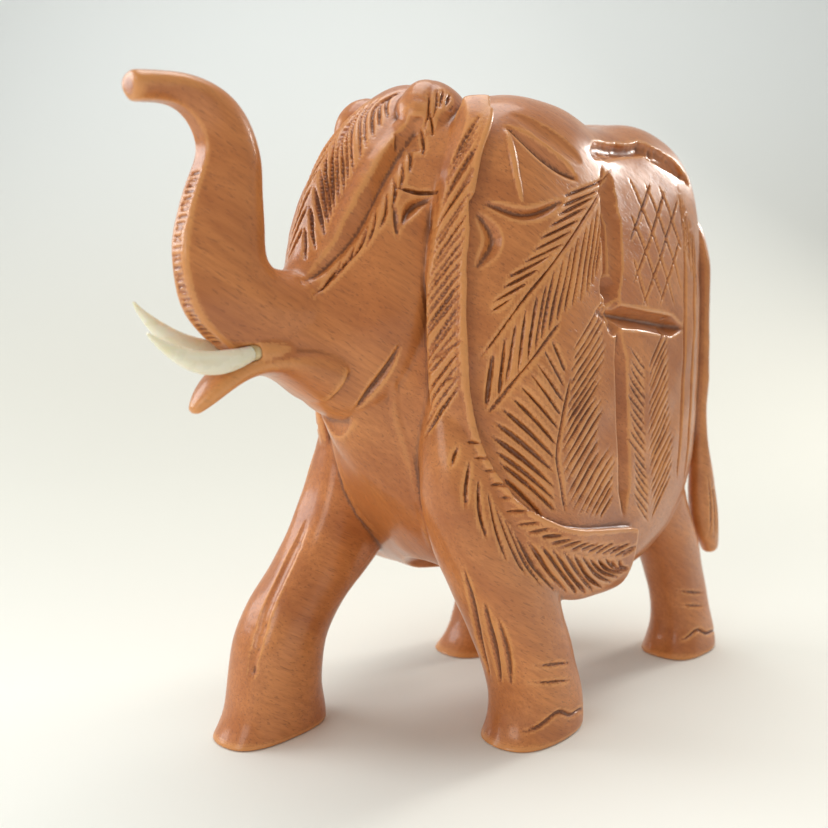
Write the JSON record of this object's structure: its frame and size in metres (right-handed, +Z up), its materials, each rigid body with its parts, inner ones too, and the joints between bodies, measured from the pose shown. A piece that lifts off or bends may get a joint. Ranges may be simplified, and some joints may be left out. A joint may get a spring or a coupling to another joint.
{
  "type": "carved elephant figurine",
  "caption": "Wooden elephant ornament with raised trunk, striding on four legs, carved saddle cloth and ears, and pegged pale tusks.",
  "frame": {"origin": "on the table, under the middle of the whole figure's box, tusks included", "axes": "the head points to -X and the tail to +X; the left flank faces -Y; +Z is up; the soles lie on z = 0"},
  "size_m": [0.1454, 0.0576, 0.125],
  "materials": {
    "carved_wood": "hand-carved hardwood, waxed to a soft sheen",
    "tusk": "polished cream resin or bone",
    "glue": "cured wood glue"
  },
  "bodies": {
    "root": {"carved_body": "carved_wood", "left_tusk": "tusk", "right_tusk": "tusk", "left_tusk_glue": "glue", "right_tusk_glue": "glue"}
  },
  "joints": []
}
